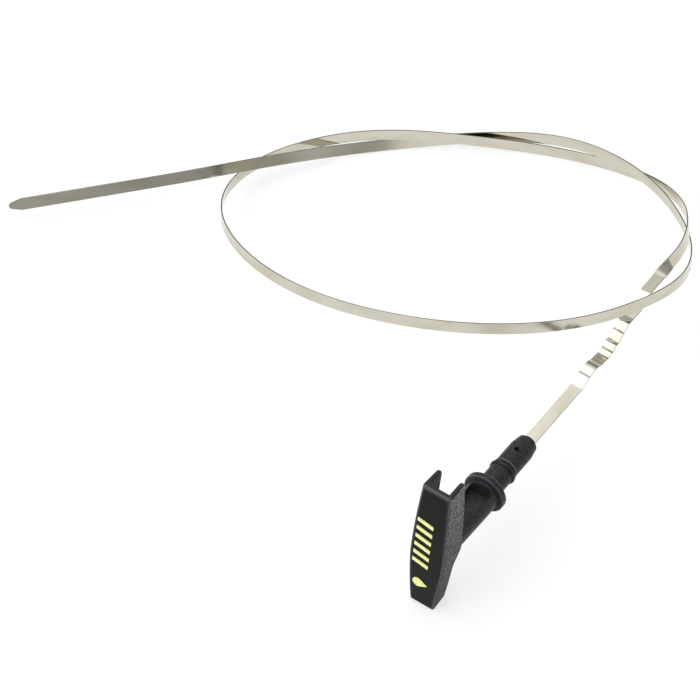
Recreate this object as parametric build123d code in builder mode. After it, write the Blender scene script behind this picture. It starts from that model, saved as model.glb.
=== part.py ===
# Engine oil dipstick: moulded T-handle, sealing ring and a coiled flat spring-steel strip.
# Millimetres, +Z up. The origin is the middle of the footprint, on the floor.
import os
from math import atan2, cos, degrees, radians, sin

from build123d import *

os.makedirs("parts", exist_ok=True)

# Where the handle stands and how it leans on the lower end of its grip
foot = (31.2, -134.49, 0.62)
stem_heading = 56.1
stem_slope = -1.5
bar_lean = 4.1

# Grip bar: a barrel outline seen from the front, an open channel at the back
bar_length = 75
bar_top_width = 14.6
bar_mid_width = 17.6
bar_foot_width = 12.2
bar_bulge = 0.25
bar_crown = 1.0
bar_top_depth = 12.4
bar_foot_depth = 10.4
bar_mid_depth = 14.8
plate_thickness = 2.7
wall_thickness = 2.7
wall_draft = 3
channel_overrun = 5.0
front_edge_bevel = 1.2
front_edge_easing = 0.4
rim_outer_bevel = 0.5
rim_inner_bevel = 0.6
back_corner_radius = 2.2
foot_corner_radius = 1.2
flare_above = 9.0
flare_below = 9.0
flare_swell = 2.0
flare_nose_above = 1.0
flare_nose_below = 2.0
flare_blend_radius = 5.0
flare_nose_radius = 1.5

# Stem, flange and nose, turned about the stem's axis
stem_height = 31.9
stem_radius = 7.7
stem_draft = 0.6
web_thickness = 2.4
pocket_width = 10.2
pocket_start = 9.5
pocket_end = 42.0
pocket_corner_radius = 1.2
flange_start = 43.6
flange_thickness = 3.0
flange_radius = 9.8
flange_bevel = 0.4
neck_radius = 5.6
collar_radius = 5.8
nose_radius = 5.5
nose_tip_radius = 4.7
nose_shoulder = 60.7
nose_lead = 0.6
nose_tip_bevel = 1.2
nose_taper = 73.5
nose_end = 79.6
cross_hole_radius = 1.2
cross_hole_place = 69.2
ejector_mark_radius = 3.2
ejector_mark_place = 19.0
ejector_mark_depth = 0.2

# Sealing ring and its groove
ring_place = 58.6
ring_section = 2.4
ring_seat_radius = 3.95
groove_clearance = 0.12
groove_relief = 0.05

# Strip: section, straight run, crimps
blade_width = 5.5
blade_thickness = 0.6
tang_start = 66.0
crimp_bend_radius = 1.0
run_end = 184.0
run_end_height = 14.1

# Crimped waves, each row a bend's place along the stem's axis and its height over it
crimps = [
    (118.9, 0.0),
    (123.8, 3.2),
    (128.8, 3.8),
    (131.2, 3.2),
    (134.8, 1.6),
    (140.4, 0.9),
    (144.0, 1.7),
    (146.0, 4.3),
    (148.0, 4.6),
    (154.6, 10.2),
    (159.2, 9.7),
    (166.3, 9.5),
    (172.3, 13.5),
    (178.0, 14.0),
]

# Quarter twist that sets the strip on edge, then the coil
twist_length = 13.0
twist_steps = 7
twist_roll = 68
coil_roll = 88
tail_roll = 108
settle_length = 45.0
tail_length = 170.0
section_pitch = 13.0

# The loop lies in a plane that rises towards the handle, and every row is across, back and lift in that plane
loop_centre = (44.9, 66.51, 18.76)
loop_tilt = 11
first_turn = [
    (107.6, -13.5, 13.3),
    (95.2, 36.5, 1.6),
    (61.0, 64.2, -3.1),
    (10.5, 71.2, 1.3),
    (-43.5, 68.2, 4.9),
    (-87.0, 54.0, -1.0),
    (-101.9, 15.8, 0.9),
    (-80.9, -32.9, 1.5),
    (-30.1, -68.8, 3.5),
    (21.6, -82.0, 6.3),
    (70.3, -76.4, 9.9),
]
second_turn = [
    (86.0, -69.0, 11.5),
    (101.4, -51.3, 9.2),
    (108.9, -18.7, 4.7),
    (105.2, 5.0, 3.6),
    (93.1, 34.2, 3.1),
    (60.4, 64.0, 3.7),
    (10.5, 73.9, 0.4),
    (-43.5, 68.1, -1.7),
    (-87.0, 46.6, 4.9),
    (-130.0, 36.1, 2.6),
]

# Free tip, rolled over as it runs out
tip_point = (-199.0, 24.5, -3.4)
tip_roll = 119
point_length = 5.5
point_width = 2.4
point_radius = 1.0


# The handle's own planes, and the points on its stem
heading = radians(stem_heading)
upright = Plane(origin=foot, x_dir=(sin(heading), -cos(heading), 0), z_dir=(0, 0, 1))
stand = Plane(upright.location * Rotation(stem_slope, bar_lean, 0))
across = stand.x_dir
along = stand.y_dir
up = stand.z_dir
stem_foot = Vector(*foot) + up * stem_height
side = Plane(origin=foot, x_dir=along, z_dir=across)
stem_side = Plane(origin=stem_foot, x_dir=along, z_dir=across)
front = Plane(origin=foot, x_dir=across, z_dir=-along)
stem_top = Plane(origin=stem_foot, x_dir=across, z_dir=up)
stem_axis = Axis(origin=stem_foot, direction=along)


def barrel(inset, overrun):
    """Front outline of the grip bar, drawn in by inset and run past both ends by overrun."""
    low = bar_foot_width / 2 - inset
    mid = bar_mid_width / 2 - inset
    top = bar_top_width / 2 - inset
    low_swell = (low + mid) / 2 + bar_bulge
    top_swell = (top + mid) / 2 + bar_bulge
    top_middle = (stem_height + bar_length) / 2
    for hand in (1, -1):
        ThreePointArc((hand * low, 0), (hand * low_swell, stem_height / 2), (hand * mid, stem_height))
        ThreePointArc((hand * mid, stem_height), (hand * top_swell, top_middle), (hand * top, bar_length))
    if overrun == 0:
        Line((low, 0), (-low, 0))
        Line((top, bar_length), (-top, bar_length))
    else:
        Polyline((low, 0), (low, -overrun), (-low, -overrun), (-low, 0))
        Polyline((top, bar_length), (top, bar_length + overrun), (-top, bar_length + overrun), (-top, bar_length))


with BuildPart() as handle:
    # Side view of the grip bar: crowned front, back edge that flares out to the stem
    with BuildSketch(side):
        with BuildLine():
            ThreePointArc((0, 0), (-bar_crown, bar_length / 2), (0, bar_length))
            FilletPolyline(
                (0, bar_length),
                (bar_top_depth, bar_length),
                (bar_top_depth + flare_swell, stem_height + flare_above),
                (bar_mid_depth, stem_height + flare_nose_above),
                (bar_mid_depth, stem_height - flare_nose_below),
                (bar_foot_depth, stem_height - flare_below),
                (bar_foot_depth, 0),
                (0, 0),
                radius=[
                    back_corner_radius,
                    flare_blend_radius,
                    flare_nose_radius,
                    flare_nose_radius,
                    flare_blend_radius,
                    foot_corner_radius,
                ],
            )
        make_face()
    extrude(amount=bar_mid_width, both=True)
    # Front view cuts the same block to its barrel outline, from both sides so that the walls draw in to the back
    for hand in (1, -1):
        with BuildSketch(Plane(front.offset(2 * bar_crown).location * Rotation(0, hand * wall_draft, 0))):
            with BuildLine():
                barrel(0, 0)
            make_face()
        extrude(amount=2 * bar_mid_depth, both=True, mode=Mode.INTERSECT)
    front_edges = handle.edges().filter_by(lambda e: (e @ 0.5 - Vector(*foot)).dot(along) < 0.5)
    chamfer(front_edges, length=front_edge_bevel)
    face_edges = handle.edges().filter_by(lambda e: (e @ 0.5 - Vector(*foot)).dot(along) < 0.5)
    chamfer(face_edges, length=front_edge_easing)
    # Channel between the two walls, open at the back and at both ends
    with BuildSketch(front.offset(-plate_thickness)):
        with BuildLine():
            barrel(wall_thickness, channel_overrun)
        make_face()
    extrude(amount=-2 * bar_mid_depth, mode=Mode.SUBTRACT)
    # Both edges of the walls' back rims are eased, the inner ones more
    for bevel, inner in ((rim_outer_bevel, False), (rim_inner_bevel, True)):
        rim_edges = ShapeList()
        for rim in handle.faces():
            rim_middle = rim.center() - Vector(*foot)
            if abs(rim.normal_at().dot(across)) > 0.05 or rim_middle.dot(along) < bar_foot_depth - 1:
                continue
            for edge in rim.edges():
                edge_side = abs((edge @ 0.5 - Vector(*foot)).dot(across))
                lengthwise = abs((edge % 0.5).dot(across)) < 0.5
                if lengthwise and (edge_side < abs(rim_middle.dot(across))) == inner:
                    rim_edges.append(edge)
        chamfer(rim_edges, length=bevel)
    # Stem, flange, neck with the ring's groove, and the nose
    groove_half = ring_section / 2 + groove_clearance
    with BuildSketch(stem_side):
        with BuildLine():
            Polyline(
                (plate_thickness / 2, 0),
                (plate_thickness / 2, stem_radius - stem_draft),
                (flange_start, stem_radius),
                (flange_start, flange_radius - flange_bevel),
                (flange_start + flange_bevel, flange_radius),
                (flange_start + flange_thickness - flange_bevel, flange_radius),
                (flange_start + flange_thickness, flange_radius - flange_bevel),
                (flange_start + flange_thickness, neck_radius),
                (ring_place - groove_half, neck_radius),
                (ring_place - groove_half, ring_seat_radius - groove_relief),
                (ring_place + groove_half, ring_seat_radius - groove_relief),
                (ring_place + groove_half, collar_radius),
                (nose_shoulder, collar_radius),
                (nose_shoulder + nose_lead, nose_radius),
                (nose_taper, nose_radius),
                (nose_end - nose_tip_bevel, nose_tip_radius),
                (nose_end, nose_tip_radius - nose_tip_bevel),
                (nose_end, 0),
                (plate_thickness / 2, 0),
            )
        make_face()
    revolve(axis=stem_axis)
    # Pockets cored from above and below leave two side walls and a web
    pocket_middle = (pocket_start + pocket_end) / 2
    with BuildSketch(stem_top.offset(web_thickness / 2)):
        with Locations((0, pocket_middle)):
            RectangleRounded(pocket_width, pocket_end - pocket_start, pocket_corner_radius)
    extrude(amount=2 * stem_radius, mode=Mode.SUBTRACT)
    with BuildSketch(stem_top.offset(-web_thickness / 2)):
        with Locations((0, pocket_middle)):
            RectangleRounded(pocket_width, pocket_end - pocket_start, pocket_corner_radius)
    extrude(amount=-2 * stem_radius, mode=Mode.SUBTRACT)
    # Faint round mark of the ejector pin on the web
    with BuildSketch(stem_top.offset(web_thickness / 2)):
        with Locations((0, ejector_mark_place)):
            Circle(ejector_mark_radius)
    extrude(amount=-ejector_mark_depth, mode=Mode.SUBTRACT)
    # Slot that the strip's tang fills, and the cross hole that locked it in the mould
    with BuildSketch(Plane(origin=stem_foot + along * tang_start, x_dir=across, z_dir=along)):
        Rectangle(blade_width, blade_thickness)
    extrude(amount=nose_end, mode=Mode.SUBTRACT)
    with BuildSketch(stem_top):
        with Locations((0, cross_hole_place)):
            Circle(cross_hole_radius)
    extrude(amount=2 * nose_radius, both=True, mode=Mode.SUBTRACT)
handle.part.label = "handle"
export_step(handle.part, "parts/handle.step")


with BuildPart() as o_ring:
    ring_radius = ring_seat_radius + ring_section / 2
    with BuildSketch(stem_side):
        with Locations((ring_place, ring_radius)):
            Circle(ring_section / 2)
    revolve(axis=stem_axis)
o_ring.part.label = "o_ring"
export_step(o_ring.part, "parts/o_ring.step")


# The run's last straight, where the twist takes over
last_crimp = crimps[-1]
run_direction = (along * (run_end - last_crimp[0]) + up * (run_end_height - last_crimp[1])).normalized()
twist_start = stem_foot + along * run_end + up * run_end_height
twist_end = twist_start + run_direction * twist_length

# Centre line of the coil, and of the straight tip
loop = Plane(origin=loop_centre, x_dir=(1, 0, 0), z_dir=(0, sin(radians(loop_tilt)), cos(radians(loop_tilt))))
coil_points = [twist_end]
for row in first_turn + second_turn:
    coil_points.append(loop.from_local_coords(Vector(*row)))
tip_end = loop.from_local_coords(Vector(*tip_point))
tip_direction = (tip_end - coil_points[-1]).normalized()
with BuildLine() as centre_line:
    coil = Spline(*coil_points, tangents=[run_direction, tip_direction], tangent_scalars=[1, 1])
    tip_line = Line(coil @ 1, tip_end)


def blade_plane(point, direction, roll):
    """Plane across the strip: x is its width, lying flat at roll 0 and on edge at roll 90."""
    outward = direction.cross(loop.z_dir).normalized()
    edge = outward.cross(direction).normalized()
    width_axis = edge * sin(radians(roll)) - outward * cos(radians(roll))
    return Plane(origin=point, x_dir=width_axis, z_dir=direction)


# Roll that the run itself has, so that the twist starts square to it
run_outward = run_direction.cross(loop.z_dir).normalized()
run_edge = run_outward.cross(run_direction).normalized()
run_roll = degrees(atan2(-across.dot(run_edge), across.dot(run_outward)))


def roll_at(distance):
    """Roll of the coil this far from its start: it settles after the twist and leans over before the tip."""
    settled = min(1, distance / settle_length)
    leaning = max(0, 1 - (coil.length - distance) / tail_length)
    return twist_roll + (coil_roll - twist_roll) * settled + (tail_roll - coil_roll) * leaning


with BuildPart() as blade:
    # Tang, straight run and crimps: one bent side profile, as wide as the strip
    with BuildSketch(stem_side):
        with BuildLine():
            FilletPolyline((tang_start, 0), *crimps, (run_end, run_end_height), radius=crimp_bend_radius)
        trace(line_width=blade_thickness)
    extrude(amount=blade_width / 2, both=True)
    with BuildSketch(stem_top):
        with Locations((0, cross_hole_place)):
            Circle(cross_hole_radius)
    extrude(amount=blade_width, both=True, mode=Mode.SUBTRACT)
    # Quarter twist: sections that turn step by step from lying flat to standing on edge
    for step in range(twist_steps + 1):
        share = step / twist_steps
        point = twist_start + run_direction * twist_length * share
        with BuildSketch(blade_plane(point, run_direction, run_roll + (twist_roll - run_roll) * share)):
            Rectangle(blade_width, blade_thickness)
    loft()
    # Coil: sections on edge along the centre line
    coil_steps = round(coil.length / section_pitch)
    for step in range(coil_steps + 1):
        share = step / coil_steps
        with BuildSketch(blade_plane(coil @ share, coil % share, roll_at(share * coil.length))):
            Rectangle(blade_width, blade_thickness)
    loft()
    # Free tip: rolls over on its way out and ends in a blunt point
    shoulder = tip_end - tip_direction * point_length
    with BuildSketch(blade_plane(coil @ 1, tip_direction, tail_roll)):
        Rectangle(blade_width, blade_thickness)
    with BuildSketch(blade_plane((coil @ 1 + shoulder) / 2, tip_direction, (tail_roll + tip_roll) / 2)):
        Rectangle(blade_width, blade_thickness)
    with BuildSketch(blade_plane(shoulder, tip_direction, tip_roll)):
        Rectangle(blade_width, blade_thickness)
    loft()
    with BuildSketch(blade_plane(shoulder, tip_direction, tip_roll)):
        Rectangle(blade_width, blade_thickness)
    with BuildSketch(blade_plane(tip_end, tip_direction, tip_roll)):
        Rectangle(point_width, blade_thickness)
    loft(ruled=True)
    tip_corners = blade.edges().filter_by(lambda e: abs((e @ 0.5 - tip_end).length - point_width / 2) < 0.01)
    fillet(tip_corners, radius=point_radius)
blade.part.label = "blade"
export_step(blade.part, "parts/blade.step")
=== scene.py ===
# Engine oil dipstick: moulded T-handle, sealing ring and a coiled flat spring-steel strip.
# Sizes are in millimetres, and become metres where Blender's objects and sockets take them.
from math import atan2, cos, degrees, radians, sin

import bmesh
import bpy
import numpy as np
from mathutils import Matrix, Vector


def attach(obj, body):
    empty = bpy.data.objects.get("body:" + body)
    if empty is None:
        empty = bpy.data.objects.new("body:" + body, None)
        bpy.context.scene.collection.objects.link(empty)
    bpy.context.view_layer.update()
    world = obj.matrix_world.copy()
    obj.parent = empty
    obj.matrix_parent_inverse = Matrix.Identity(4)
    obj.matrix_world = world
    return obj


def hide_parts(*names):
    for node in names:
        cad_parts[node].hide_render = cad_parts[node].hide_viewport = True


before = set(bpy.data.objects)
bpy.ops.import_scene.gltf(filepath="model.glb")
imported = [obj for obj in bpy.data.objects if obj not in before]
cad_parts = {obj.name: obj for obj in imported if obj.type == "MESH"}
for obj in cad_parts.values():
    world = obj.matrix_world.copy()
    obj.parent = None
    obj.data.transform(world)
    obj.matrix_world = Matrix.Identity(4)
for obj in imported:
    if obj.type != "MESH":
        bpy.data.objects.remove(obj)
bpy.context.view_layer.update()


# Handle: glass-filled black nylon, moulded in one shot round the end of the steel strip.
# The grip's face is polished in the tool, its two side walls are spark-eroded to a fine grain,
# and the stem, flange and nose are left as the tool was turned.
mm = 0.001
handle_foot = Vector((31.2, -134.49, 0.62))
stem_heading = radians(56.1)
stem_slope = radians(-1.5)
bar_lean = radians(4.1)
stem_height = 31.9
upright = Matrix((
    (sin(stem_heading), cos(stem_heading), 0),
    (-cos(stem_heading), sin(stem_heading), 0),
    (0, 0, 1),
))
stand = upright @ Matrix.Rotation(stem_slope, 3, "X") @ Matrix.Rotation(bar_lean, 3, "Y")
across = stand @ Vector((1, 0, 0))
along = stand @ Vector((0, 1, 0))
up = stand @ Vector((0, 0, 1))
stem_foot = handle_foot + up * stem_height


def linear(hex_colour):
    """sRGB hex to the linear colour that a shader's socket takes."""
    channels = [int(hex_colour[i:i + 2], 16) / 255 for i in (1, 3, 5)]
    return [c / 12.92 if c <= 0.04045 else ((c + 0.055) / 1.055) ** 2.4 for c in channels] + [1]


def add(material, kind, settings=None, links=None):
    """A node with its settings, by socket or property name, and what its sockets are linked from."""
    node = material.node_tree.nodes.new(kind)
    for name, value in (settings or {}).items():
        if hasattr(node, str(name)):
            setattr(node, name, value)
        else:
            node.inputs[name].default_value = value
    for name, source in (links or {}).items():
        material.node_tree.links.new(source, node.inputs[name])
    return node


def empty_material(name):
    """A material without nodes."""
    material = bpy.data.materials.new(name)
    material.use_nodes = True
    material.node_tree.nodes.clear()
    return material


# Black glass-filled nylon: deep black where the tool was polished, greyer and mottled where it was turned,
# and on the grip's side walls a spark-eroded grain that scatters the light. The edges get a painted
# highlight, and the grain a painted light that grows towards the grip's top. The grain is drawn 0.8 mm
# coarse, twice its real size, so that it shows.
nylon = empty_material("black_nylon_moulded")
grain_size = 0.8
grain_depth = 0.25
mottle_size = 1.2
grip_depth = 15
grip_fade = 2
nose_shoulder = 60.7
nose_fade_start = 1
nose_fade_end = 2
# Heights over the foot across which the grain's grey gets lighter: painted light from overhead
top_light_start = 5
top_light_end = 75
stem_depth = stem_foot.dot(along)
foot_level = handle_foot.dot(up)
on_handle = add(nylon, "ShaderNodeTexCoord").outputs["Object"]
facing = add(nylon, "ShaderNodeNewGeometry").outputs["Normal"]
sideways = add(nylon, "ShaderNodeVectorMath", {"operation": "DOT_PRODUCT", 1: across}, {0: facing})
backwards = add(nylon, "ShaderNodeVectorMath", {"operation": "DOT_PRODUCT", 1: along}, {0: facing})
depth = add(nylon, "ShaderNodeVectorMath", {"operation": "DOT_PRODUCT", 1: along}, {0: on_handle})
breadth = add(nylon, "ShaderNodeVectorMath", {"operation": "DOT_PRODUCT", 1: across}, {0: on_handle})
height_up = add(nylon, "ShaderNodeVectorMath", {"operation": "DOT_PRODUCT", 1: up}, {0: on_handle})

# The grip's outer side walls and its polished front, which both fade out where the stem starts
grip = add(nylon, "ShaderNodeMapRange", {"From Min": (stem_depth + grip_depth) * mm,
                                         "From Max": (stem_depth + grip_depth + grip_fade) * mm,
                                         "To Min": 1.0, "To Max": 0.0}, {"Value": depth.outputs["Value"]})
from_middle = add(nylon, "ShaderNodeMath", {"operation": "SUBTRACT", 1: handle_foot.dot(across) * mm},
                  {0: breadth.outputs["Value"]})
outer_side = add(nylon, "ShaderNodeMath", {"operation": "SIGN"}, {0: from_middle.outputs[0]})
outwards = add(nylon, "ShaderNodeMath", {"operation": "MULTIPLY"},
               {0: sideways.outputs["Value"], 1: outer_side.outputs[0]})
side_wall = add(nylon, "ShaderNodeMapRange", {"From Min": 0.75, "From Max": 0.95},
                {"Value": outwards.outputs[0]})
wall = add(nylon, "ShaderNodeMath", {"operation": "MULTIPLY"},
           {0: side_wall.outputs[0], 1: grip.outputs[0]})
forwards = add(nylon, "ShaderNodeMapRange", {"From Min": -0.8, "From Max": -0.95},
               {"Value": backwards.outputs["Value"]})
front = add(nylon, "ShaderNodeMath", {"operation": "MULTIPLY"},
            {0: forwards.outputs[0], 1: grip.outputs[0]})

# Painted highlight on the edges: the bevels and rims, which face neither straight back nor square to it, but
# not the nose
straight_back = add(nylon, "ShaderNodeMath", {"operation": "MULTIPLY"},
                    {0: backwards.outputs["Value"], 1: backwards.outputs["Value"]})
square_to_it = add(nylon, "ShaderNodeMath", {"operation": "SUBTRACT", 0: 1.0}, {1: straight_back.outputs[0]})
slanting = add(nylon, "ShaderNodeMath", {"operation": "MULTIPLY"},
               {0: straight_back.outputs[0], 1: square_to_it.outputs[0]})
bevel = add(nylon, "ShaderNodeMapRange", {"From Min": 0.12, "From Max": 0.2}, {"Value": slanting.outputs[0]})
behind_nose = add(nylon, "ShaderNodeMapRange",
                  {"From Min": (stem_depth + nose_shoulder + nose_fade_start) * mm,
                   "From Max": (stem_depth + nose_shoulder + nose_fade_end) * mm,
                   "To Min": 1.0, "To Max": 0.0}, {"Value": depth.outputs["Value"]})
edge_highlight = add(nylon, "ShaderNodeMath", {"operation": "MULTIPLY"},
                  {0: bevel.outputs[0], 1: behind_nose.outputs[0]})

grain = add(nylon, "ShaderNodeTexNoise", {"Scale": 1 / (grain_size * mm), "Detail": 4.0, "Roughness": 0.65},
            {"Vector": on_handle})
flow = add(nylon, "ShaderNodeTexNoise", {"Scale": 1 / (mottle_size * mm), "Detail": 4.0},
           {"Vector": on_handle})
mottle = add(nylon, "ShaderNodeMapRange", {"From Min": 0.3, "From Max": 0.7}, {"Value": flow.outputs[0]})
bump_height = add(nylon, "ShaderNodeMath", {"operation": "MULTIPLY"},
                  {0: grain.outputs[0], 1: wall.outputs[0]})
bump = add(nylon, "ShaderNodeBump", {"Strength": 0.6, "Distance": grain_depth * mm},
           {"Height": bump_height.outputs[0]})
turned_black = add(nylon, "ShaderNodeMix", {"data_type": "RGBA", 6: linear("#232326"), 7: linear("#38383c")},
                   {0: mottle.outputs[0]})
polished_black = add(nylon, "ShaderNodeMix", {"data_type": "RGBA", 7: linear("#09090b")},
                     {0: front.outputs[0], 6: turned_black.outputs[2]})
speckle = add(nylon, "ShaderNodeMapRange", {"From Min": 0.42, "From Max": 0.68}, {"Value": grain.outputs[0]})
# Painted light from overhead: the grain's grey gets lighter from the foot towards the grip's top
top_light = add(nylon, "ShaderNodeMapRange", {"From Min": (foot_level + top_light_start) * mm,
                                            "From Max": (foot_level + top_light_end) * mm},
              {"Value": height_up.outputs["Value"]})
grain_grey_top_lit = add(nylon, "ShaderNodeMix", {"data_type": "RGBA", 6: linear("#5e5e60"), 7: linear("#a2a2a4")},
                 {0: top_light.outputs[0]})
grain_black = add(nylon, "ShaderNodeMix", {"data_type": "RGBA", 6: linear("#2a2a2c")},
                  {0: speckle.outputs[0], 7: grain_grey_top_lit.outputs[2]})
walled = add(nylon, "ShaderNodeMix", {"data_type": "RGBA"},
             {0: wall.outputs[0], 6: polished_black.outputs[2], 7: grain_black.outputs[2]})
# Painted highlight: the edges' grey is lighter where they face back
edge_highlight_facing = add(nylon, "ShaderNodeMapRange", {"From Min": -0.2, "From Max": 0.2},
          {"Value": backwards.outputs["Value"]})
edge_highlight_grey = add(nylon, "ShaderNodeMix", {"data_type": "RGBA", 6: linear("#4a4a4e"), 7: linear("#8a8a8e")},
                  {0: edge_highlight_facing.outputs[0]})
nylon_colour = add(nylon, "ShaderNodeMix", {"data_type": "RGBA"},
                   {0: edge_highlight.outputs[0], 6: walled.outputs[2], 7: edge_highlight_grey.outputs[2]})
nylon_roughness = add(nylon, "ShaderNodeMapRange", {"To Min": 0.38, "To Max": 0.6},
                      {"Value": wall.outputs[0]})
nylon_surface = add(nylon, "ShaderNodeBsdfPrincipled", {"IOR": 1.53, "Specular IOR Level": 0.1},
                    {"Base Color": nylon_colour.outputs[2], "Roughness": nylon_roughness.outputs[0],
                     "Normal": bump.outputs[0]})
add(nylon, "ShaderNodeOutputMaterial", links={"Surface": nylon_surface.outputs[0]})
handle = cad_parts["handle"]
handle.data.materials.clear()
handle.data.materials.append(nylon)


# Marks on the grip: a row of slanted level bars and an oil drop in raised, hot-stamped yellow.
# They stand a little proud of the crowned face, and run along the grip.
bar_length = 75
bar_crown = 1.0
crown_radius = ((bar_length / 2) ** 2 + bar_crown ** 2) / (2 * bar_crown)
mark_height = 0.35
mark_sink = 0.3
mark_count = 6
mark_top = 55
mark_pitch = 5.2
mark_left = -6.2
mark_right = 1.6
mark_slant = 1.5
mark_thickness = 2.0
drop_radius = 2.6
drop_stretch = 1.75
drop_pinch = 0.85
drop_curve = 1.3
drop_place = (-2.3, 15, 0)


def on_face(sideways_place, height, proud):
    """Point on the grip's crowned face, from its middle line, its foot and the face, in metres."""
    off_middle = height - bar_length / 2
    crown = (crown_radius ** 2 - off_middle ** 2) ** 0.5 - (crown_radius - bar_crown)
    return (handle_foot + across * sideways_place + up * height - along * (crown + proud)) * mm


def finish_piece(mesh_maker, name, materials):
    """An object at the origin from a finished bmesh."""
    mesh = bpy.data.meshes.new(name)
    mesh_maker.to_mesh(mesh)
    mesh_maker.free()
    for material in materials:
        mesh.materials.append(material)
    piece = bpy.data.objects.new(name, mesh)
    bpy.context.scene.collection.objects.link(piece)
    return piece


# Hot-stamped foil on nylon: pale yellow, matt, worn a little thin in places.
foil = empty_material("pale_yellow_hot_stamp_foil")
worn_spot = 1.5
on_marks = add(foil, "ShaderNodeTexCoord").outputs["Object"]
wear = add(foil, "ShaderNodeTexNoise", {"Scale": 1 / (worn_spot * mm), "Detail": 4.0}, {"Vector": on_marks})
thin = add(foil, "ShaderNodeMapRange", {"From Min": 0.58, "From Max": 0.75}, {"Value": wear.outputs[0]})
foil_colour = add(foil, "ShaderNodeMix", {"data_type": "RGBA", 6: linear("#e4e79a"), 7: linear("#c2c66c")},
                  {0: thin.outputs[0]})
foil_surface = add(foil, "ShaderNodeBsdfPrincipled", {"Roughness": 0.5},
                   {"Base Color": foil_colour.outputs[2]})
add(foil, "ShaderNodeOutputMaterial", links={"Surface": foil_surface.outputs[0]})

stamp = bmesh.new()
for number in range(mark_count):
    mark_middle = ((mark_right + mark_left) / 2, mark_top - number * mark_pitch, 0)
    made = bmesh.ops.create_grid(stamp, x_segments=6, y_segments=1, size=0.5)["verts"]
    bmesh.ops.scale(stamp, vec=(mark_right - mark_left, mark_thickness, 1), verts=made)
    bmesh.ops.translate(stamp, vec=mark_middle, verts=made)
    for vert in made:
        vert.co.y -= mark_slant * (vert.co.x - mark_left) / (mark_right - mark_left)
drop = bmesh.ops.create_circle(stamp, cap_ends=True, segments=32, radius=drop_radius)["verts"]
for vert in drop:
    if vert.co.x > 0:
        vert.co.x *= drop_stretch
        vert.co.y *= 1 - drop_pinch * (vert.co.x / (drop_radius * drop_stretch)) ** drop_curve
bmesh.ops.translate(stamp, vec=drop_place, verts=drop)
for vert in stamp.verts:
    vert.co = on_face(vert.co.x, vert.co.y, -mark_sink)
risen = bmesh.ops.extrude_face_region(stamp, geom=stamp.faces[:], use_keep_orig=True)["geom"]
tops = [item for item in risen if isinstance(item, bmesh.types.BMVert)]
bmesh.ops.translate(stamp, vec=-along * (mark_height + mark_sink) * mm, verts=tops)
bmesh.ops.recalc_face_normals(stamp, faces=stamp.faces)
marks = finish_piece(stamp, "marks", [foil])
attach(marks, "root")


# Sealing ring: a nitrile rubber ring, moulded to a round section and rolled into its groove on the neck.
# The rubber is soft, and the groove's two walls keep it in place.

# Nitrile rubber: the blackest of the finishes, with a faint greyish bloom and a soft sheen.
nitrile = empty_material("black_nitrile_rubber")
bloom_spot = 1.2
on_ring = add(nitrile, "ShaderNodeTexCoord").outputs["Object"]
bloom = add(nitrile, "ShaderNodeTexNoise", {"Scale": 1 / (bloom_spot * mm), "Detail": 3.0},
            {"Vector": on_ring})
nitrile_colour = add(nitrile, "ShaderNodeMix",
                     {"data_type": "RGBA", 6: linear("#0b0b0b"), 7: linear("#141415")}, {0: bloom.outputs[0]})
nitrile_surface = add(nitrile, "ShaderNodeBsdfPrincipled",
                      {"Roughness": 0.45, "IOR": 1.52, "Specular IOR Level": 0.3},
                      {"Base Color": nitrile_colour.outputs[2]})
add(nitrile, "ShaderNodeOutputMaterial", links={"Surface": nitrile_surface.outputs[0]})
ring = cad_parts["o_ring"]
ring.data.materials.clear()
ring.data.materials.append(nitrile)


# Strip: stainless spring steel, cold rolled to a satin finish and slit to width, with its edges dressed.
# It leaves the nose flat, is crimped so that it grips inside the tube, turns on edge in a quarter twist,
# winds round in an open coil and ends in a blunt point.
strip_width = 5.5
strip_thickness = 0.6
edge_dressing = 0.12
strip_start = 73.0
point_length = 5.5
point_width = 2.4
point_radius = 1.0

# Crimped waves of the flat run: each bend's place along the stem's axis and its height over it
crimps = [
    (118.9, 0),
    (123.2, 3.1),
    (125.1, 3.0),
    (127.8, 3.75),
    (129.2, 3.8),
    (130.3, 3.7),
    (131.9, 3.3),
    (133.6, 2.25),
    (135.4, 1.75),
    (137.2, 1.63),
    (139.4, 1.05),
    (140.6, 0.92),
    (142.5, 1.9),
    (144.5, 1.8),
    (145.8, 3.9),
    (148.7, 3.75),
    (150.8, 7.0),
    (152.7, 6.9),
    (154.8, 10.0),
    (159.2, 9.55),
    (166.3, 9.5),
    (168.3, 10.9),
    (169.2, 10.9),
    (172.4, 13.9),
    (178, 14),
]
crimp_bend = 0.25
bend_samples = 27
slope_step = 0.05
run_end = 184.0
run_end_height = 14.1
run_margin = 20

# Rolls in degrees, and the stretches that they take: the run's end turns a little against the twist, which
# goes quickest at its start, the coil settles on edge, and its last stretch leans over towards the tip
early_turn = 13
early_turn_start = 171.8
early_turn_length = 1.2
twist_length = 13.0
twist_ease = 2
twist_roll = 68
coil_roll = 88
tail_roll = 108
tip_roll = 119
settle_length = 45.0
tail_length = 170.0
lean_ease = 3

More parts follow.
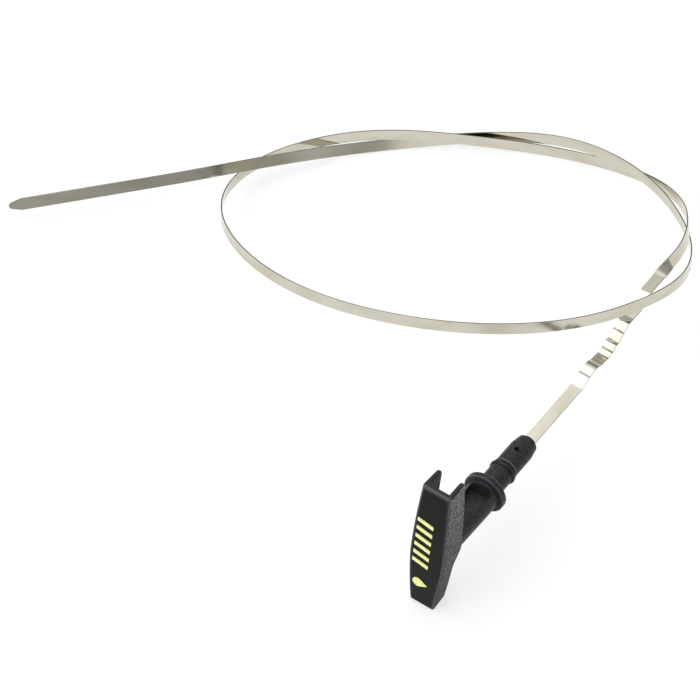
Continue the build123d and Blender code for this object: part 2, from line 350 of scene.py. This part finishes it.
# The coil's points: right of the loop's centre, back from it and over the loop's plane, which is tilted
loop_centre = Vector((44.9, 66.51, 18.76))
loop_tilt = radians(11)
loop_back = Vector((0, cos(loop_tilt), -sin(loop_tilt)))
loop_up = Vector((0, sin(loop_tilt), cos(loop_tilt)))
loop_rows = [
    (107.6, -13.5, 13.3),
    (95.2, 36.5, 1.6),
    (61.0, 64.2, -3.1),
    (10.5, 71.2, 1.3),
    (-43.5, 68.2, 4.9),
    (-87.0, 54.0, -1.0),
    (-101.9, 15.8, 0.9),
    (-80.9, -32.9, 1.5),
    (-30.1, -68.8, 3.5),
    (21.6, -82.0, 6.3),
    (70.3, -76.4, 9.9),
    (86.0, -69.0, 11.5),
    (101.4, -51.3, 9.2),
    (108.9, -18.7, 4.7),
    (105.2, 5.0, 3.6),
    (93.1, 34.2, 3.1),
    (60.4, 64.0, 3.7),
    (10.5, 73.9, 0.4),
    (-43.5, 68.1, -1.7),
    (-87.0, 46.6, 4.9),
    (-130.0, 36.1, 2.6),
]
tip_row = (-199.0, 24.5, -3.4)


def on_loop(row):
    """Point of the coil's centre line from its row."""
    return loop_centre + Vector((row[0], 0, 0)) + loop_back * row[1] + loop_up * row[2]


run_slope = (run_end_height - crimps[-1][1]) / (run_end - crimps[-1][0])
crimp_places = [strip_start - run_margin] + [place for place, level in crimps] + [run_end + run_margin]
crimp_levels = [0.0] + [level for place, level in crimps] + [run_end_height + run_margin * run_slope]
run_direction = (along + up * run_slope).normalized()
run_tail = stem_foot + along * run_end + up * run_end_height
coil_points = [run_tail + run_direction * twist_length] + [on_loop(row) for row in loop_rows]
tip_end = on_loop(tip_row)
tip_direction = (tip_end - coil_points[-1]).normalized()

# The coil's centre line: a smooth curve through its points that leaves the twist and meets the tip in line
knots = np.array(coil_points)
reach = np.concatenate([[0], np.cumsum(np.linalg.norm(np.diff(knots, axis=0), axis=1))])
gaps = np.diff(reach)
slopes_matrix = np.eye(len(knots))
slopes_right = np.zeros_like(knots)
slopes_right[0] = run_direction
slopes_right[-1] = tip_direction
for i in range(1, len(knots) - 1):
    before, after = gaps[i - 1], gaps[i]
    slopes_matrix[i, i - 1:i + 2] = (1 / before, 2 / before + 2 / after, 1 / after)
    slopes_right[i] = 3 * ((knots[i] - knots[i - 1]) / before ** 2 + (knots[i + 1] - knots[i]) / after ** 2)
slopes = np.linalg.solve(slopes_matrix, slopes_right)


def on_coil(place):
    """Point and direction on the coil's centre line, this far along its points."""
    i = min(int(np.searchsorted(reach, place, side="right")) - 1, len(gaps) - 1)
    gap = gaps[i]
    t = (place - reach[i]) / gap
    point = (knots[i] * (1 + 2 * t) * (1 - t) ** 2 + slopes[i] * gap * t * (1 - t) ** 2
             + knots[i + 1] * t * t * (3 - 2 * t) + slopes[i + 1] * gap * t * t * (t - 1))
    way = (knots[i] * 6 * t * (t - 1) / gap + slopes[i] * (1 - t) * (1 - 3 * t)
           + knots[i + 1] * 6 * t * (1 - t) / gap + slopes[i + 1] * t * (3 * t - 2))
    return Vector(point), Vector(way).normalized()


def section(point, way, roll):
    """Centre, width axis and face normal of the strip's section."""
    outward = way.cross(loop_up).normalized()
    edge = outward.cross(way).normalized()
    width_axis = edge * sin(radians(roll)) - outward * cos(radians(roll))
    return point, width_axis, way.cross(width_axis)


# The roll that the flat run has by itself, from which the twist carries on
run_outward = run_direction.cross(loop_up).normalized()
run_edge = run_outward.cross(run_direction).normalized()
run_roll = degrees(atan2(-across.dot(run_edge), across.dot(run_outward)))


def crimp_level(station):
    """Height of the flat run's centre line, its corners rounded by averaging over a bend's length."""
    spread = np.linspace(station - crimp_bend, station + crimp_bend, bend_samples)
    return float(np.interp(spread, crimp_places, crimp_levels).mean())


coil_length = reach[-1]
tip_length = (tip_end - coil_points[-1]).length
run_length = run_end - strip_start
strip_length = run_length + twist_length + coil_length + tip_length


def strip_section(place):
    """Section of the strip this far from its start in the nose."""
    if place < run_length:
        station = strip_start + place
        rise = (crimp_level(station + slope_step) - crimp_level(station - slope_step)) / (2 * slope_step)
        point = stem_foot + along * station + up * crimp_level(station)
        way = (along + up * rise).normalized()
        turn = radians(early_turn) * min(1, max(0, (station - early_turn_start) / early_turn_length))
        width_axis = -across * cos(turn) - across.cross(way) * sin(turn)
        return point, width_axis, way.cross(width_axis)
    place -= run_length
    if place < twist_length:
        start_roll = run_roll - early_turn
        roll = start_roll + (twist_roll - start_roll) * (1 - (1 - place / twist_length) ** twist_ease)
        return section(run_tail + run_direction * place, run_direction, roll)
    place -= twist_length
    if place < coil_length:
        point, way = on_coil(place)
        settled = min(1, place / settle_length)
        leaning = 1 - min(1, (coil_length - place) / tail_length) ** lean_ease
        roll = twist_roll + (coil_roll - twist_roll) * settled + (tail_roll - coil_roll) * leaning
        return section(point, way, roll)
    place -= coil_length
    roll = tail_roll + (tip_roll - tail_roll) * min(1, place / (tip_length - point_length))
    return section(coil_points[-1] + tip_direction * place, tip_direction, roll)


# Satin stainless steel: rolling leaves fine lines along the strip, drawn here 0.3 mm apart so that they show,
# handling leaves faint cloudy stains, and the slit edges are darker than the rolled faces.
steel = empty_material("satin_rolled_stainless_steel")
line_length = 60
line_pitch = 0.3
line_depth = 0.05
stain_length = 22
stain_width = 6
strip_uv = add(steel, "ShaderNodeUVMap", {"uv_map": "flat_strip"}).outputs[0]
line_place = add(steel, "ShaderNodeMapping", {"Scale": (1 / (line_length * mm), 1 / (line_pitch * mm), 1)},
                 {"Vector": strip_uv})
lines = add(steel, "ShaderNodeTexNoise", {"Scale": 1.0, "Detail": 2.0}, {"Vector": line_place.outputs[0]})
stain_place = add(steel, "ShaderNodeMapping", {"Scale": (1 / (stain_length * mm), 1 / (stain_width * mm), 1)},
                  {"Vector": strip_uv})
stain = add(steel, "ShaderNodeTexNoise", {"Scale": 1.0, "Detail": 3.0}, {"Vector": stain_place.outputs[0]})
stained = add(steel, "ShaderNodeMapRange", {"From Min": 0.45, "From Max": 0.75}, {"Value": stain.outputs[0]})
rolled_colour = add(steel, "ShaderNodeMix", {"data_type": "RGBA", 6: linear("#cdc9bb"), 7: linear("#c0baa6")},
                    {0: stained.outputs[0]})
width_place = add(steel, "ShaderNodeSeparateXYZ", links={0: strip_uv})
from_middle_line = add(steel, "ShaderNodeMath", {"operation": "ABSOLUTE"}, {0: width_place.outputs["Y"]})
slit_edge = add(steel, "ShaderNodeMapRange", {"From Min": (strip_width / 2 - edge_dressing) * mm,
                                              "From Max": (strip_width / 2 - edge_dressing / 2) * mm},
                {"Value": from_middle_line.outputs[0]})
steel_colour = add(steel, "ShaderNodeMix", {"data_type": "RGBA", 7: linear("#807c71")},
                   {0: slit_edge.outputs[0], 6: rolled_colour.outputs[2]})
steel_roughness = add(steel, "ShaderNodeMapRange", {"To Min": 0.08, "To Max": 0.18},
                      {"Value": lines.outputs[0]})
relief = add(steel, "ShaderNodeBump", {"Strength": 0.04, "Distance": line_depth * mm},
             {"Height": lines.outputs[0]})
steel_surface = add(steel, "ShaderNodeBsdfPrincipled", {"Metallic": 1.0},
                    {"Base Color": steel_colour.outputs[2], "Roughness": steel_roughness.outputs[0],
                     "Normal": relief.outputs[0]})
add(steel, "ShaderNodeOutputMaterial", links={"Surface": steel_surface.outputs[0]})

# The strip starts flat and straight, gets its stations, closer together where it bends most, and is then bent
strip_stations = 1100
crimps_start = 45
crimps_end = 106
twist_and_settling = 55
tip_margin = 1
crease_angle = radians(20)
station_shares = (0, 0.02, 0.27, 0.29, 0.38, 0.94, 1)
station_places = (0, crimps_start, crimps_end, run_length, run_length + twist_and_settling,
                  strip_length - point_length - tip_margin, strip_length)
flat = bmesh.new()
flat_verts = bmesh.ops.create_cube(flat, size=1)["verts"]
bmesh.ops.scale(flat, vec=(1, strip_width, strip_thickness), verts=flat_verts)
bmesh.ops.translate(flat, vec=(0.5, 0, 0), verts=flat_verts)
long_edges = [edge for edge in flat.edges if abs(edge.verts[0].co.x - edge.verts[1].co.x) > 0.5]
bmesh.ops.bevel(flat, geom=long_edges, offset=edge_dressing, offset_type="OFFSET", affect="EDGES", segments=2,
                profile=0.5, material=-1)
long_edges = [edge for edge in flat.edges if abs(edge.verts[0].co.x - edge.verts[1].co.x) > 0.5]
bmesh.ops.subdivide_edges(flat, edges=long_edges, cuts=strip_stations - 1, use_grid_fill=True)
uv_layer = flat.loops.layers.uv.new("flat_strip")
for vert in flat.verts:
    vert.co.x = float(np.interp(vert.co.x, station_shares, station_places))
    to_end = strip_length - vert.co.x
    if to_end < point_length:
        half_width = (point_width + (strip_width - point_width) * to_end / point_length) / 2
        if to_end < point_radius:
            half_width += (point_radius ** 2 - (point_radius - to_end) ** 2) ** 0.5 - point_radius
        vert.co.y *= half_width * 2 / strip_width
for face in flat.faces:
    for loop in face.loops:
        loop[uv_layer].uv = (loop.vert.co.x * mm, loop.vert.co.y * mm)
    face.smooth = True
bent = {}
for vert in flat.verts:
    from_start = round(vert.co.x, 4)
    if from_start not in bent:
        bent[from_start] = strip_section(min(from_start, strip_length))
    centre, width_axis, normal = bent[from_start]
    vert.co = (centre + width_axis * vert.co.y + normal * vert.co.z) * mm
bmesh.ops.recalc_face_normals(flat, faces=flat.faces)
strip = finish_piece(flat, "strip", [steel])
strip.data.set_sharp_from_angle(angle=crease_angle)
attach(strip, "root")
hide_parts("blade")


# Studio: a pale matt floor that keeps a faint shadow, in a grey room with soft light from overhead.
# The floor shows the camera and the steel its own white. The light dims gently from overhead down,
# and a soft box stands to the left.
floor_reach = 4
floor_glow = 0.65

# White matt paper: an even white without sheen, bright enough by itself to leave only a faint shadow.
paper = empty_material("white_matt_paper")
seen = add(paper, "ShaderNodeLightPath")
mirrored = add(paper, "ShaderNodeMath", {"operation": "MAXIMUM"},
               {0: seen.outputs["Is Camera Ray"], 1: seen.outputs["Is Glossy Ray"]})
seen_white = add(paper, "ShaderNodeMath", {"operation": "MAXIMUM"},
                 {0: mirrored.outputs[0], 1: seen.outputs["Is Transmission Ray"]})
glow = add(paper, "ShaderNodeMath", {"operation": "MULTIPLY", 1: floor_glow}, {0: seen_white.outputs[0]})
matt = add(paper, "ShaderNodeBsdfDiffuse", {"Color": linear("#f8f8f8")})
white = add(paper, "ShaderNodeEmission", {"Color": linear("#ffffff"), "Strength": 1.0})
paper_surface = add(paper, "ShaderNodeMixShader",
                    links={0: glow.outputs[0], 1: matt.outputs[0], 2: white.outputs[0]})
add(paper, "ShaderNodeOutputMaterial", links={"Surface": paper_surface.outputs[0]})
sweep = bmesh.new()
bmesh.ops.create_grid(sweep, x_segments=1, y_segments=1, size=floor_reach)
floor = finish_piece(sweep, "floor", [paper])

# The room's light by direction: the grey walls, the light overhead and the soft box
light_direction = (-0.25, 0.12, 0.96)
box_direction = (-0.752, -0.451, 0.481)
room = bpy.data.worlds.new("grey_room")
room.use_nodes = True
room.node_tree.nodes.clear()
sky_direction = add(room, "ShaderNodeTexCoord").outputs["Generated"]
towards_light = add(room, "ShaderNodeVectorMath", {"operation": "DOT_PRODUCT", 1: light_direction},
                    {0: sky_direction})
towards_box = add(room, "ShaderNodeVectorMath", {"operation": "DOT_PRODUCT", 1: box_direction},
                  {0: sky_direction})
room_level = add(room, "ShaderNodeMapRange", {"From Min": 0.0, "From Max": 0.4, "To Min": 0.4, "To Max": 0.5},
                 {"Value": towards_light.outputs["Value"]})
light_level = add(room, "ShaderNodeMapRange", {"interpolation_type": "SMOOTHSTEP", "From Min": 0.55,
                                               "From Max": 0.98, "To Min": 0.0, "To Max": 1.5},
                  {"Value": towards_light.outputs["Value"]})
box_level = add(room, "ShaderNodeMapRange", {"interpolation_type": "SMOOTHSTEP", "From Min": 0.82,
                                             "From Max": 0.95, "To Min": 0.0, "To Max": 1.6},
                {"Value": towards_box.outputs["Value"]})
overhead = add(room, "ShaderNodeMath", {"operation": "ADD"},
               {0: room_level.outputs[0], 1: light_level.outputs[0]})
sky_level = add(room, "ShaderNodeMath", {"operation": "ADD"},
                {0: overhead.outputs[0], 1: box_level.outputs[0]})
sky = add(room, "ShaderNodeBackground", {"Color": linear("#ffffff")}, {"Strength": sky_level.outputs[0]})
add(room, "ShaderNodeOutputWorld", links={"Surface": sky.outputs[0]})
bpy.context.scene.world = room

# Camera: a long lens that looks down on the part as the photograph does
camera_data = bpy.data.cameras.new("camera")
camera_data.lens = 226.29
camera_data.sensor_width = 36
camera_data.clip_end = 20
camera = bpy.data.objects.new("camera", camera_data)
camera.location = (0.0014, -1.30109, 1.4576)
camera.rotation_euler = (radians(42), 0, 0)
bpy.context.scene.collection.objects.link(camera)
bpy.context.scene.camera = camera
bpy.context.scene.view_settings.view_transform = "Standard"
